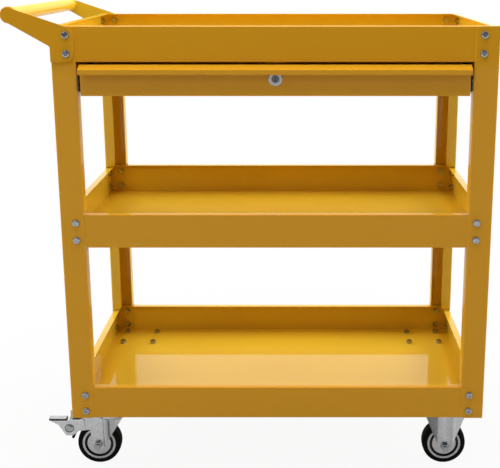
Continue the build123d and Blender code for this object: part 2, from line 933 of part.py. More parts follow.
def make_wheel_hub(leg_inner):
    """Steel sleeve on the axle between a fork's legs, with a pressed disc on each side of the core."""
    half = wheel_width / 2 - core_inset
    length = leg_inner - hub_side_gap
    hub = rod_y(hub_sleeve_radius, 0, axle_z, -length, length)
    for side in (-1, 1):
        low, high = sorted((side * half, side * (half - hub_disc_sheet)))
        disc = rod_y(hub_disc_radius, 0, axle_z, low, high)
        disc = fillet(disc.edges().sort_by(Axis.Y)[-1 if side > 0 else 0], hub_disc_round)
        hub += disc
    return hub - rod_y(axle_radius + running_clearance, 0, axle_z, -length, length)


# Brakes, drawn like the swivel fork


def lever_outline():
    """Side of the brake lever: a plate that narrows in a curve to the pedal's tip."""
    axle_x = -swivel_trail
    return polygon(
        [
            (axle_x - lever_reach, lever_top),
            (axle_x - lever_waist_back, lever_waist_height),
            (axle_x - lever_heel, lever_bottom),
            (axle_x - lever_toe, lever_bottom),
            (axle_x - lever_front, lever_nose_height),
            (axle_x - lever_front, lever_top),
        ])


def make_brake_lever():
    """Pressed lever: a long side with the pedal and a short side, joined by a web under the fork's ears."""
    axle_x = -swivel_trail
    tip = axle_x - lever_reach
    heel = axle_x - lever_heel
    outline = lever_outline()
    low = (tip, -lever_outer, lever_top - lever_sheet)
    pedal = block(low, (tip + pedal_length, pedal_width - lever_outer, lever_top))
    pedal &= plate_xz(outline, -lever_outer, pedal_width - lever_outer)
    low = (heel, -lever_outer, lever_bottom)
    web = block(low, (heel + lever_web_length, lever_outer, lever_bottom + lever_sheet))
    short_side = plate_xz(outline, lever_inner, lever_outer)
    short_side &= block((heel, lever_inner, 0), (axle_x, lever_outer, caster_height))
    lever = plate_xz(outline, -lever_outer, -lever_inner) + pedal + web + short_side
    pin_x = axle_x - brake_pin_back
    radius = brake_pin_radius + running_clearance
    return lever - rod_y(radius, pin_x, brake_pin_height, -2 * lever_outer, 2 * lever_outer)


def brake_tread():
    """Black tread on the pedal."""
    tip = -swivel_trail - lever_reach
    low = (tip, -lever_outer - tread_overhang, lever_top)
    tread = block(low, (tip + pedal_length, pedal_width - lever_outer, lever_top + tread_height))
    return fillet(tread.edges().filter_by(Axis.Z), tread_round)


def brake_pad():
    """Black pad that faces the tyre, on a foot that lies on the lever's web."""
    axle_x = -swivel_trail
    inner = wheel_radius + pad_gap
    outer = inner + pad_thickness
    wedge = [(0, 0)]
    for angle in (180 - pad_low_angle, 180 - pad_high_angle):
        reach = 2 * outer
        wedge.append((reach * math.cos(math.radians(angle)), reach * math.sin(math.radians(angle))))
    band = (Circle(outer) - Circle(inner)) & polygon(wedge)
    pad = plate_xz(Pos(axle_x, axle_z) * band, -pad_width / 2, pad_width / 2)
    seat = lever_bottom + lever_sheet
    low = (axle_x - lever_heel, -lever_inner, seat)
    high = (axle_x - lever_toe + pad_foot_reach, lever_inner, seat + pad_foot_height)
    return pad + block(low, high)


def make_brake_rubber():
    return gathered([brake_tread(), brake_pad()])


def make_brake_pin():
    pin_x = -swivel_trail - brake_pin_back
    seat = lever_outer + lever_side_gap
    pin = rod_y(brake_pin_radius, pin_x, brake_pin_height, -seat, seat)
    for side in (-1, 1):
        low, high = sorted((side * seat, side * (seat + brake_pin_head_height)))
        pin += rod_y(brake_pin_head_radius, pin_x, brake_pin_height, low, high)
    return pin


# Assembly

parts = {}

screw_holes = frame_screw_holes()
post = make_post()
rivet_holes = lip_rivet_holes()
parts["post_front_left"] = post - screw_holes - rivet_holes
parts["post_front_right"] = mirror_x(post) - screw_holes - rivet_holes
parts["post_rear_left"] = mirror_y(post) - screw_holes - rivet_holes
parts["post_rear_right"] = mirror_x(mirror_y(post)) - screw_holes - rivet_holes

tray_names = ["bottom_tray", "middle_tray", "top_tray"]
for name, bottom in zip(tray_names, tray_bottoms):
    parts[name] = make_tray(bottom) - screw_holes
parts["bottom_tray"] -= caster_bolt_holes()

arm = make_handle_arm() - screw_holes
parts["handle_arm_front"] = arm
parts["handle_arm_rear"] = mirror_y(arm)
parts["handle_bar"] = make_handle_bar()
parts["frame_screws"] = make_frame_screws()
parts["frame_nuts"] = make_frame_nuts()

side_panel = make_side_panel()
parts["drawer_side_panels"] = gathered([side_panel, mirror_x(side_panel)])

parts["drawer_front"] = make_drawer_front()
parts["drawer_box"] = make_drawer_box()
rail = make_rail()
runner = make_runner()
cage = make_cage()
parts["drawer_rail_right"] = rail
parts["drawer_rail_left"] = mirror_x(rail)
parts["drawer_runner_right"] = runner
parts["drawer_runner_left"] = mirror_x(runner)
parts["ball_cage_right"] = cage
parts["ball_cage_left"] = mirror_x(cage)
parts["rail_rivets"] = make_lip_rivets()
parts["runner_rivets"] = make_runner_rivets()

parts["lock_barrel"] = make_lock_barrel()
parts["lock_nut"] = make_lock_nut()
parts["lock_plug"] = make_lock_plug()
parts["lock_cam"] = make_lock_cam()
parts["lock_cam_screw"] = make_cam_screw()
parts["lock_strike"] = make_lock_strike()

parts["caster_bolts"] = make_caster_bolts()
parts["caster_nuts"] = make_caster_nuts()
swivel_plate = make_swivel_plate()
swivel_fork = make_swivel_fork()
rigid_fork = make_rigid_fork()
tyre = make_tyre()
wheel_core = make_wheel_core()
swivel_hub = make_wheel_hub(fork_inner)
rigid_hub = make_wheel_hub(fork_inner + fork_panel_lift)
brake_lever = make_brake_lever()
brake_rubber = make_brake_rubber()
brake_pin = make_brake_pin()
swivel_axle = gathered(axle_set(fork_outer))
rigid_grip = fork_inner + fork_panel_lift + fork_sheet
kingpins = []
balls = []
rigid_axles = []
for row, y in (("front", -caster_y), ("rear", caster_y)):
    swivel_spot = Pos(-caster_x, y, 0)
    left_axle = Pos(-caster_x - swivel_trail, y, 0)
    right_axle = Pos(caster_x, y, 0)
    parts["swivel_plate_" + row] = swivel_spot * swivel_plate
    parts["swivel_fork_" + row] = swivel_spot * swivel_fork
    parts["swivel_axle_" + row] = left_axle * swivel_axle
    parts["brake_lever_" + row] = swivel_spot * brake_lever
    parts["brake_rubber_" + row] = swivel_spot * brake_rubber
    parts["brake_pin_" + row] = swivel_spot * brake_pin
    parts["rigid_fork_" + row] = right_axle * rigid_fork
    kingpins.append(swivel_spot * kingpin())
    balls += [swivel_spot * ball for ball in race_balls()]
    rigid_axles += [right_axle * piece for piece in axle_set(rigid_grip)]
    for side, place, hub in (("left", left_axle, swivel_hub), ("right", right_axle, rigid_hub)):
        parts["tyre_" + row + "_" + side] = place * tyre
        parts["wheel_core_" + row + "_" + side] = place * wheel_core
        parts["wheel_hub_" + row + "_" + side] = place * hub
parts["kingpins"] = gathered(kingpins)
parts["swivel_balls"] = gathered(balls)
parts["rigid_axles"] = gathered(rigid_axles)

os.makedirs("parts", exist_ok=True)
to_origin = Pos(-middle_x, -middle_y, 0)
for name, part in parts.items():
    export_step(to_origin * part, os.path.join("parts", name + ".step"))
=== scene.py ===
import json
import math

import bpy
import numpy as np
from bpy.props import FloatProperty, FloatVectorProperty, IntProperty, PointerProperty
from bpy.types import NodeSocket, Operator, Panel, PropertyGroup
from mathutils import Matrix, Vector


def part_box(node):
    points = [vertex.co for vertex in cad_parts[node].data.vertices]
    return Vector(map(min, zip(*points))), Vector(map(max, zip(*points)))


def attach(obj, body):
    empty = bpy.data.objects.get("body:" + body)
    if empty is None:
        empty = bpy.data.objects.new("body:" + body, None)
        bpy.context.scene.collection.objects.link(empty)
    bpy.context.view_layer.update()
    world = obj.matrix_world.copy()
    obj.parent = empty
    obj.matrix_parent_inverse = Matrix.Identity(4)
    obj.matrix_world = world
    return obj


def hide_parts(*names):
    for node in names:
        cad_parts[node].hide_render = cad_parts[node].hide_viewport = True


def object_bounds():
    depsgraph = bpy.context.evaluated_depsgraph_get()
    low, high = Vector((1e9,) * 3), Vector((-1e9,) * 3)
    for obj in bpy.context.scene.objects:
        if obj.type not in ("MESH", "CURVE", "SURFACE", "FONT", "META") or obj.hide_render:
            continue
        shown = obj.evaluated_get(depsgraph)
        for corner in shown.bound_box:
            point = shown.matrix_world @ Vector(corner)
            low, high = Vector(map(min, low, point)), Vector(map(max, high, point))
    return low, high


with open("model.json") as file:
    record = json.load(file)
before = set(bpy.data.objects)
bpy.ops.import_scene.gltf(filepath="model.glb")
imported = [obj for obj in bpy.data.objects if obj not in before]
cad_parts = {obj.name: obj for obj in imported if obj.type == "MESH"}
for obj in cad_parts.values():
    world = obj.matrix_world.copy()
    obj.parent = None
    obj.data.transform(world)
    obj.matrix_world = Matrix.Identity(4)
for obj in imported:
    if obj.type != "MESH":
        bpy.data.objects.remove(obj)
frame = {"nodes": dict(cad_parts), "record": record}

bl_info = {
    "name": "Tool Trolley",
    "version": (1, 0, 0),
    "blender": (4, 5, 0),
    "location": "View3D > Sidebar > Trolley",
    "description": "Finishes, tyres, pedal plates, weld beads and studio for a steel tool trolley",
    "category": "Object",
}

# Lowest and highest corner of the bare trolley, before anything is added
bare_low, bare_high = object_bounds()

# Nodes that share a finish
rows = ("front", "rear")
sides = ("left", "right")
corners = [row + "_" + side for row in rows for side in sides]
painted_frame = ["post_" + corner for corner in corners] + [
    "handle_arm_front", "handle_arm_rear", "handle_bar", "drawer_side_panels", "lock_strike",
]
painted_trays = ["top_tray", "middle_tray", "bottom_tray"]
painted_drawer = ["drawer_front", "drawer_box"]
slide_steel = [piece + side for side in sides for piece in ("drawer_rail_", "drawer_runner_")]
ball_steel = ["ball_cage_left", "ball_cage_right", "swivel_balls"]
fasteners = [
    "frame_screws", "frame_nuts", "rail_rivets", "runner_rivets", "caster_bolts", "caster_nuts",
    "lock_nut", "lock_cam", "lock_cam_screw", "kingpins", "rigid_axles",
    "swivel_axle_front", "swivel_axle_rear", "brake_pin_front", "brake_pin_rear",
]
caster_steel = [piece + row for row in rows for piece in ("swivel_plate_", "brake_lever_")]

# Painted reflections and shade on the casters' forks, in upright stripes: distance along X from the wheel's
# middle, and lightness
rigid_painted_light_stops = (
    (-0.040, 0.30), (-0.0145, 0.42), (-0.0125, 0.80), (-0.002, 0.95),
    (0.011, 0.72), (0.014, 1.0), (0.040, 0.85),
)
swivel_painted_light_stops = (
    (-0.060, 0.95), (0.0085, 1.0), (0.0100, 0.30), (0.0120, 1.0), (0.0145, 0.75),
    (0.0185, 0.60), (0.0195, 0.25), (0.0215, 0.70), (0.044, 0.95),
)
# The forks, the side that they stand on and their stripes of painted reflection and shade
caster_forks = (
    ("swivel_fork_", "_left", swivel_painted_light_stops),
    ("rigid_fork_", "_right", rigid_painted_light_stops),
)

# Width of one patch, grain or hairline in each finish, in metres
paint_smear = 0.03
zinc_cloud = 0.012
zinc_patch = 0.004
zinc_grain = 0.0009
plate_hair = 0.0004
hub_patch = 0.005
plastic_cloud = 0.006
plastic_grain = 0.0008
rubber_bloom = 0.010
rubber_grain = 0.0007
floor_cloud = 0.8

# Depth of the marks in each finish, in metres
zinc_grain_depth = 0.000002
rolling_depth = 0.00002
turning_depth = 0.00003
rubber_grain_depth = 0.00004

# Darkest and lightest shade of each finish against its colour
zinc_shades = (0.92, 1.05)
slide_shades = (0.85, 1.05)
plate_shades = (0.93, 1.0)
hub_shades = (0.9, 1.05)
# The wheel plastic is lifted above its colour as painted light, since its pale ring sits in shade
plastic_lit_shades = (1.18, 1.26)
rubber_shades = (0.3, 0.7)
floor_shades = (1.0, 1.01)

# Smoothest and roughest place of each finish, as a change or a share of its roughness, or as it is
paint_roughness_change = (-0.04, 0.05)
zinc_roughness_change = (-0.05, 0.05)
slide_roughness_change = (-0.06, 0.1)
plate_roughness_share = (0.7, 1.5)
hub_roughness = (0.26, 0.40)
plastic_roughness = (0.4, 0.55)
rubber_roughness = (0.50, 0.68)
floor_roughness = 0.9

# How strongly bare paint and rubber mirror
paint_mirror = 0.06
rubber_mirror = 0.05

# Patterns: how fine they are, the values they mostly take, and how they are drawn out along an axis
cloud_detail = 3.0
peel_detail = 2.0
cloud_colour_span = (0.3, 0.7)
cloud_value_span = (0.25, 0.75)
whole_span = (0.0, 1.0)
drawn_along_y = (1.0, 0.02, 1.0)
drawn_along_z = (1.0, 1.0, 0.05)
flat_across_y = (1.0, 0.0, 1.0)

# Turning marks: pitch of the ring pattern at a scale of one, and how far and how finely the rings waver
ring_pitch = 0.314
ring_waver = 0.6
ring_detail = 1.0

# Steps of the new surfaces
tyre_section_steps = 96
bead_section_steps = 16
ripple_steps = 12
pin_ring_steps = 72
rib_steps = 16
plate_cross_steps = 33

# Tyre section: place of the raised ring up the tyre's side, and share of the half width where the side begins
rim_line_place = 0.35
tyre_side_share = 0.9

# Pedal plate: powers that hold its sides and ends up to near the edge, and the root that rounds them
plate_side_power = 4
plate_end_power = 16
plate_edge_root = 0.25

# Strength at which a glow is plain white
plain_white = 1.0


def slot_colour(slot):
    """Base colour that the record gives to a material slot."""
    for material in frame["record"]["materials"]:
        if material["slot"] == slot:
            return tuple(material["base_color"][:3])
    raise ValueError("the record has no slot " + slot)


def box_middle(node):
    """Middle of a CAD node's box."""
    low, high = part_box(node)
    return (low + high) / 2.0


# Settings


def colour_setting(name, slot):
    """Colour that starts as the record's own."""
    return FloatVectorProperty(
        name=name, description="Base colour of the " + name.lower(), subtype="COLOR",
        size=3, min=0.0, max=1.0, default=slot_colour(slot))


def tint_setting(name, description, default):
    """Factor for each of the three channels of a colour."""
    return FloatVectorProperty(name=name, description=description, size=3, default=default)


def length_setting(name, description, default):
    """Length in metres."""
    return FloatProperty(
        name=name, description=description, subtype="DISTANCE", unit="LENGTH",
        min=0.0, default=default, precision=5)


def share_setting(name, description, default):
    """Share from nought to one."""
    return FloatProperty(
        name=name, description=description, subtype="FACTOR", min=0.0, max=1.0, default=default)


def number_setting(name, description, least, most, default):
    """Plain number within limits."""
    return FloatProperty(name=name, description=description, min=least, max=most, default=default)


def count_setting(name, description, least, most, default):
    """Whole number within limits."""
    return IntProperty(name=name, description=description, min=least, max=most, default=default)


def pair_setting(name, description, default, **kind):
    """Two numbers that belong together."""
    return FloatVectorProperty(name=name, description=description, size=2, default=default, **kind)


def place_setting(name, description, default):
    """Point in metres."""
    return FloatVectorProperty(
        name=name, description=description, subtype="TRANSLATION", unit="LENGTH", size=3, default=default)


def power_setting(name, description, default):
    """Power of a lamp in watts."""
    return FloatProperty(name=name, description=description, unit="POWER", min=0.0, default=default)


class PaintSettings(PropertyGroup):
    colour: colour_setting("Paint", "yellow_paint")
    roughness: share_setting("Roughness", "Roughness of the powder coat under its skin", 0.45)
    # One paint, shaded and lit: the front tint paints shade on the front faces and the inner tint paints
    # light on the faces behind them
    front_shade_tint: tint_setting("Front tint", "Tint of the paint on the front faces", (1.0, 0.90, 0.95))
    inner_light_tint: tint_setting("Inner tint", "Tint of the paint behind them", (1.04, 1.26, 1.8))
    skin: share_setting("Skin", "Share of clear gloss on the trays and the drawer", 0.95)
    frame_skin: share_setting("Frame skin", "Share of clear gloss on the posts and the handle", 0.40)
    front_skin: share_setting("Front skin", "Share of clear gloss on the front faces", 0.25)
    front_depth: length_setting("Front depth", "Depth of the front faces behind the drawer's pull", 0.020)
    front_fade: length_setting("Front fade", "Depth over which the paint changes behind them", 0.006)
    skin_roughness: share_setting("Skin roughness", "Roughness of the clear gloss", 0.05)
    skin_index: number_setting("Skin index", "Refractive index of the clear gloss", 1.0, 2.0, 1.52)
    grain: length_setting("Orange peel", "Width of one bump of the coat's orange peel", 0.0022)
    grain_depth: length_setting("Orange peel depth", "Height of the orange peel", 0.00001)


class MetalSettings(PropertyGroup):
    zinc: colour_setting("Zinc plate", "zinc_plate")
    hub: colour_setting("Hub steel", "hub_steel")
    balls: colour_setting("Ball steel", "ball_steel")
    chrome: colour_setting("Lock chrome", "lock_chrome")
    zinc_roughness: share_setting("Zinc roughness", "Roughness of the zinc plate", 0.28)
    fastener_roughness: share_setting("Fastener roughness", "Roughness of the fasteners", 0.16)
    chrome_roughness: share_setting("Chrome roughness", "Roughness of the lock's plate and the balls", 0.22)
    hub_shade: share_setting("Hub shade", "Lightness of the hub discs against their steel", 0.85)
    caster_shade: share_setting("Caster shade", "Lightness of the casters against the zinc plate", 0.95)
    fastener_shade: share_setting("Fastener shade", "Lightness of the fasteners against the zinc plate", 0.62)
    lock_shade: share_setting("Lock shade", "Lightness of the lock's face against its chrome", 0.62)
    # The plug is darkened as painted shade in its recess
    plug_painted_shade: share_setting("Plug shade", "Lightness of the lock's plug against its chrome", 0.20)
    # The slides and the pin rings are darkened against the zinc plate as painted shade
    painted_shadow_shade: share_setting(
        "Slide shade", "Lightness of the drawer slides and the pin rings against the zinc plate", 0.30)
    rolling: length_setting("Rolling marks", "Width of one rolling mark on the slides", 0.0006)
    turning: length_setting("Turning marks", "Pitch of the turning marks on the hub discs", 0.0011)


class WheelSettings(PropertyGroup):
    rubber: colour_setting("Tyre rubber", "tyre_rubber")
    plastic: colour_setting("Wheel plastic", "grey_plastic")
    pedal: colour_setting("Pedal rubber", "pedal_rubber")
    # The dark ring round the hub disc is painted shade in the groove
    groove_shadow_colour: FloatVectorProperty(
        name="Groove colour", description="Colour of the dark ring round the hub disc", subtype="COLOR",
        size=3, min=0.0, max=1.0, default=(0.012, 0.012, 0.013))
    ring_radius: length_setting("Ring radius", "Middle radius of the pale ring of the wheel", 0.0267)
    ring_width: length_setting("Ring width", "Width of the pale ring", 0.0036)
    shoulder: number_setting(
        "Tyre shoulder", "Squareness of the tyre's outer shoulders; 2 is round", 2.0, 12.0, 3.6)
    bead: number_setting("Tyre bead", "Squareness of the tyre's inner edges; 2 is round", 2.0, 20.0, 9.0)
    rim_line: length_setting("Rim line", "Height of the raised ring on the tyre's side", 0.0004)
    rim_line_width: length_setting("Rim line width", "Half width of the raised ring", 0.0007)
    parting_line: length_setting("Parting line", "Height of the mould line round the tread", 0.0002)
    parting_width: length_setting("Parting line width", "Half width of the mould line", 0.0005)
    tread_steps: count_setting("Tyre steps", "Steps round the tyre", 24, 256, 120)
    rib_count: count_setting("Pedal ribs", "Ribs across each pedal", 2, 20, 6)
    rib_height: length_setting("Rib height", "Height of the ribs on a pedal's plate", 0.0003)
    plate_height: length_setting("Plate height", "Thickness of a pedal's plate at its middle", 0.0007)
    plate_inset: length_setting("Plate inset", "Black edge left round a pedal's plate", 0.0006)
    plate_length: length_setting("Plate length", "Length of a pedal's plate", 0.0288)
    plate_width: length_setting("Plate width", "Width of a pedal's plate", 0.0123)
    pin_ring: length_setting("Pin ring", "Radius of the ring pressed round a brake pin", 0.0072)
    pin_ring_section: length_setting("Pin ring section", "Radius of that ring's section", 0.0008)


class WeldSettings(PropertyGroup):
    radius: length_setting("Bead radius", "Radius of the weld bead's section", 0.0019)
    ripple: share_setting("Ripple", "Height of the weld's ripples against its radius", 0.12)
    ripple_count: count_setting("Ripples", "Ripples round one weld", 4, 80, 30)


class StageSettings(PropertyGroup):
    lens: FloatProperty(name="Lens", description="Focal length of the camera", unit="CAMERA", default=67.9)
    sensor: FloatProperty(name="Sensor", description="Width of its sensor", unit="CAMERA", default=36.0)
    shift: pair_setting("Shift", "Sideways and upward shift of the lens", (-0.100, -0.092))
    eye: place_setting("Eye", "Place of the camera", (0.0724, -1.652, 0.845))
    sight: length_setting("Sight", "Distance past which the camera sees nothing", 100.0)
    tilt: FloatProperty(
        name="Tilt", description="Angle of the camera below the horizon", subtype="ANGLE",
        unit="ROTATION", default=math.radians(13.25))
    ambient: pair_setting("Ambient", "Light on the object from in front and from behind", (0.10, 0.86))
    mirrored: pair_setting("Mirrored", "Whiteness seen in reflections, in front and behind", (0.08, 1.0))
    turn: pair_setting(
        "Turn", "How far back a direction points where front ends and where behind begins", (-0.75, 0.10))
    front_place: place_setting("Front light place", "Place of the front light", (-1.5, -2.3, 2.2))
    front_size: length_setting("Front light size", "Side of the front light", 0.9)
    front_power: power_setting("Front light power", "Power of the front light", 9.0)
    top_place: place_setting("Top light place", "Place of the light overhead", (0.0, -0.35, 2.8))
    top_size: length_setting("Top light size", "Side of the light overhead", 2.0)
    top_power: power_setting("Top light power", "Power of the light overhead", 46.0)
    back_place: place_setting("Back light place", "Place of the light behind", (0.0, 2.1, 2.5))
    back_size: length_setting("Back light size", "Side of the light behind", 2.4)
    back_power: power_setting("Back light power", "Power of the light behind", 38.0)
    side_place: place_setting("Side light place", "Place of the light on the right", (2.6, 0.6, 1.5))
    side_size: length_setting("Side light size", "Side of the lights on the right and the left", 2.0)
    side_power: power_setting("Side light power", "Power of the lights on the right and the left", 54.0)
    floor_size: length_setting("Floor", "Length of the floor's sides", 14.0)
    floor_shade: share_setting("Floor shade", "Paleness of the floor", 0.46)
    floor_glow: share_setting("Floor glow", "Share of plain white in the floor by the trolley", 0.93)
    glow_reach: pair_setting(
        "Glow reach", "Where the floor starts to fade to white, and where it is white", (0.4, 1.1),
        subtype="TRANSLATION", unit="LENGTH")
    mirror_glow: share_setting("Mirrored glow", "Share of plain white in the floor that mirrors see", 0.10)
    mirror_reach: pair_setting(
        "Mirrored reach", "The same two places, as mirrors see the floor", (0.5, 2.2),
        subtype="TRANSLATION", unit="LENGTH")


# Colours


def multiplied(colour, tint):
    """Colour times a tint, channel by channel."""
    return tuple(min(1.0, channel * share) for channel, share in zip(colour, tint))


def tinted(colour, factor):
    """Colour made lighter or darker."""
    return multiplied(colour, (factor, factor, factor))


def opaque(colour):
    """Colour with nothing seen through it."""
    return (*colour, 1.0)


# Shader helpers


def set_inputs(tree, node, inputs):
    """Links each input to another node's output, or sets it to a plain value."""
    for name, source in inputs.items():
        if isinstance(source, NodeSocket):
            tree.links.new(source, node.inputs[name])
        else:
            node.inputs[name].default_value = source


def add_node(tree, kind, inputs, **options):
    """New shader node with its options and inputs set."""
    made = tree.nodes.new(kind)
    for name, value in options.items():
        setattr(made, name, value)
    set_inputs(tree, made, inputs)
    return made


def new_finish(name):
    """New material with its node tree, its shader and the coordinates of the piece."""
    material = bpy.data.materials.new(name)
    material.use_nodes = True
    tree = material.node_tree
    shader = tree.nodes["Principled BSDF"]
    place = tree.nodes.new("ShaderNodeTexCoord").outputs["Object"]
    return material, tree, shader, place


def noise(tree, place, size, detail=cloud_detail):
    """Cloudy pattern whose patches are about as wide as size."""
    inputs = {"Vector": place, "Scale": 1.0 / size, "Detail": detail}
    return add_node(tree, "ShaderNodeTexNoise", inputs).outputs["Fac"]


def stretched(tree, place, factors):
    """Coordinates multiplied along each axis."""
    made = add_node(tree, "ShaderNodeVectorMath", {0: place, 1: factors}, operation="MULTIPLY")
    return made.outputs["Vector"]


def centred(tree, place, centre):
    """Coordinates from a wheel's middle."""
    return add_node(tree, "ShaderNodeMapping", {"Vector": place, "Location": -centre}).outputs["Vector"]


def distance(tree, place):
    """Distance of a place from the origin."""
    return add_node(tree, "ShaderNodeVectorMath", {0: place}, operation="LENGTH").outputs["Value"]


def along(tree, place, axis):
    """One of the three coordinates."""
    return add_node(tree, "ShaderNodeSeparateXYZ", {"Vector": place}).outputs[axis]


def calculated(tree, operation, *values):
    """Number worked out from others."""
    return add_node(tree, "ShaderNodeMath", dict(enumerate(values)), operation=operation).outputs["Value"]


def remapped(tree, amount, start, end, smooth=False):
    """Number that goes from one end of a span to the other as amount crosses the starting span."""
    inputs = {"Value": amount, "From Min": start[0], "From Max": start[1], "To Min": end[0], "To Max": end[1]}
    interpolation = "SMOOTHSTEP" if smooth else "LINEAR"
    return add_node(tree, "ShaderNodeMapRange", inputs, interpolation_type=interpolation).outputs["Result"]


def varied(tree, pattern, span):
    """Number that goes from one end of a span to the other with a cloudy pattern."""
    return remapped(tree, pattern, cloud_value_span, span)


def around(value, change):
    """Span that reaches from a value by two changes."""
    return (value + change[0], value + change[1])


def colour_ramp(tree, amount, stops):
    """Colour that goes through the stops, each a place from nought to one and a colour."""
    made = add_node(tree, "ShaderNodeValToRGB", {"Fac": amount})
    elements = made.color_ramp.elements
    for place, _ in stops[1:-1]:
        elements.new(place)
    for element, (place, colour) in zip(elements, stops):
        element.position = place
        element.color = opaque(colour)
    return made.outputs["Color"]


def shaded(tree, pattern, colour, shades):
    """Colour that goes from its darkest to its lightest shade with a cloudy pattern."""
    stops = [(place, tinted(colour, shade)) for place, shade in zip(cloud_colour_span, shades)]
    return colour_ramp(tree, pattern, stops)


def picked(tree, choice, first, second):
    """The first value where the choice is nought, the second where it is one."""
    return add_node(tree, "ShaderNodeMix", {"Factor": choice, "A": first, "B": second}).outputs["Result"]


def blended(tree, factor, first, second, blend_type="MIX"):
    """Colour made of two, mixed or multiplied."""
    made = add_node(tree, "ShaderNodeMix", {"Factor": factor}, data_type="RGBA", blend_type=blend_type)
    places = {socket.identifier: place for place, socket in enumerate(made.inputs)}
    set_inputs(tree, made, {places["A_Color"]: first, places["B_Color"]: second})
    return next(socket for socket in made.outputs if socket.identifier == "Result_Color")


def bumped(tree, height, depth):
    """Surface normal from a height pattern of a given depth."""
    return add_node(tree, "ShaderNodeBump", {"Height": height, "Distance": depth}).outputs["Normal"]


def assign(names, material):
    """Gives CAD nodes a finish."""
    for name in names:
        for slot in frame["nodes"][name].material_slots:
            slot.material = material


# Finishes


def powder_coat(paint, skin, name):
    """Satin powder coat: fine orange peel and a clear skin, with painted shade on the front faces, painted
    light on the faces behind them and a thinner skin on the front.
    """
    material, tree, shader, place = new_finish(name)
    front = bare_low.y + paint.front_depth
    # The inner share is nought on the front faces and one behind them; it picks painted shade or painted
    # light, and the skin with it
    inner = remapped(tree, along(tree, place, "Y"), (front, front + paint.front_fade), whole_span)
    front_shaded_colour = multiplied(paint.colour, paint.front_shade_tint)
    inner_lit_colour = multiplied(paint.colour, paint.inner_light_tint)
    smear = noise(tree, place, paint_smear)
    peel = noise(tree, place, paint.grain, peel_detail)
    set_inputs(tree, shader, {
        "Base Color": colour_ramp(tree, inner, [(0.0, front_shaded_colour), (1.0, inner_lit_colour)]),
        "Roughness": varied(tree, smear, around(paint.roughness, paint_roughness_change)),
        "Normal": bumped(tree, peel, paint.grain_depth),
        "Specular IOR Level": paint_mirror,
        "Coat Weight": remapped(tree, inner, whole_span, (paint.front_skin, skin)),
        "Coat Roughness": paint.skin_roughness,
        "Coat IOR": paint.skin_index,
    })
    return material


def painted_light_stripes(tree, place, wheel, painted_light_stops):
    """Painted reflections and shade in upright stripes, at stated places along X from the wheel's middle."""
    first, last = painted_light_stops[0][0], painted_light_stops[-1][0]
    middle = box_middle("wheel_hub_" + wheel).x
    share = remapped(tree, along(tree, place, "X"), (middle + first, middle + last), whole_span)
    stops = [((offset - first) / (last - first), (level, level, level)) for offset, level in painted_light_stops]
    return colour_ramp(tree, share, stops)


def zinc_plate(zinc, roughness, name, wheel=None, painted_light_stops=None):
    """Bright zinc: faint cloudy tints and a fine matt grain, with painted reflections and shade in upright
    stripes on a fork round its wheel.
    """
    material, tree, shader, place = new_finish(name)
    colour = shaded(tree, noise(tree, place, zinc_cloud), zinc, zinc_shades)
    # On a fork the zinc's colour is multiplied by painted reflections and shade in upright stripes
    if painted_light_stops:
        colour = blended(tree, 1.0, colour, painted_light_stripes(tree, place, wheel, painted_light_stops), "MULTIPLY")
    patches = noise(tree, place, zinc_patch)
    set_inputs(tree, shader, {
        "Base Color": colour,
        "Roughness": varied(tree, patches, around(roughness, zinc_roughness_change)),
        "Normal": bumped(tree, noise(tree, place, zinc_grain), zinc_grain_depth),
        "Metallic": 1.0,
    })
    return material


def rolled_steel(metal, name):
    """Zinc-plated slide steel with rolling marks along Y, darkened as painted shade since the slides sit in
    shadow.
    """
    material, tree, shader, place = new_finish(name)
    marks = noise(tree, stretched(tree, place, drawn_along_y), metal.rolling)
    set_inputs(tree, shader, {
        "Base Color": shaded(tree, marks, tinted(metal.zinc, metal.painted_shadow_shade), slide_shades),
        "Roughness": varied(tree, marks, around(metal.zinc_roughness, slide_roughness_change)),
        "Normal": bumped(tree, marks, rolling_depth),
        "Metallic": 1.0,
    })
    return material


def polished_metal(colour, roughness, name):
    """Bright plated metal with fine hairlines along Z."""
    material, tree, shader, place = new_finish(name)
    hairs = noise(tree, stretched(tree, place, drawn_along_z), plate_hair)
    set_inputs(tree, shader, {
        "Base Color": shaded(tree, hairs, colour, plate_shades),
        "Roughness": varied(tree, hairs, [roughness * share for share in plate_roughness_share]),
        "Metallic": 1.0,
    })
    return material


def turned_steel(metal, centre, name):
    """Pressed hub disc with faint turning marks round the axle."""
    material, tree, shader, place = new_finish(name)
    marks = {
        "Vector": centred(tree, place, centre),
        "Scale": ring_pitch / metal.turning,
        "Distortion": ring_waver,
        "Detail": ring_detail,
    }
    rings = add_node(tree, "ShaderNodeTexWave", marks, wave_type="RINGS", rings_direction="Y").outputs["Fac"]
    set_inputs(tree, shader, {
        "Base Color": shaded(tree, rings, tinted(metal.hub, metal.hub_shade), hub_shades),
        "Roughness": varied(tree, noise(tree, place, hub_patch), hub_roughness),
        "Normal": bumped(tree, rings, turning_depth),
        "Metallic": 1.0,
    })
    return material


def wheel_plastic(wheel_settings, centre, name):
    """Moulded wheel centre: a pale ring lifted as painted light, with painted groove shade inside and outside
    it.
    """
    material, tree, shader, place = new_finish(name)
    radius = distance(tree, stretched(tree, centred(tree, place, centre), flat_across_y))
    # Outside the pale ring the centre takes the painted groove shade
    pale = calculated(tree, "COMPARE", radius, wheel_settings.ring_radius, wheel_settings.ring_width / 2.0)
    # The pale ring is lifted above the plastic's colour as painted light
    cloud = shaded(tree, noise(tree, place, plastic_cloud), wheel_settings.plastic, plastic_lit_shades)
    set_inputs(tree, shader, {
        "Base Color": blended(tree, pale, opaque(wheel_settings.groove_shadow_colour), cloud),
        "Roughness": varied(tree, noise(tree, place, plastic_grain), plastic_roughness),
    })
    return material


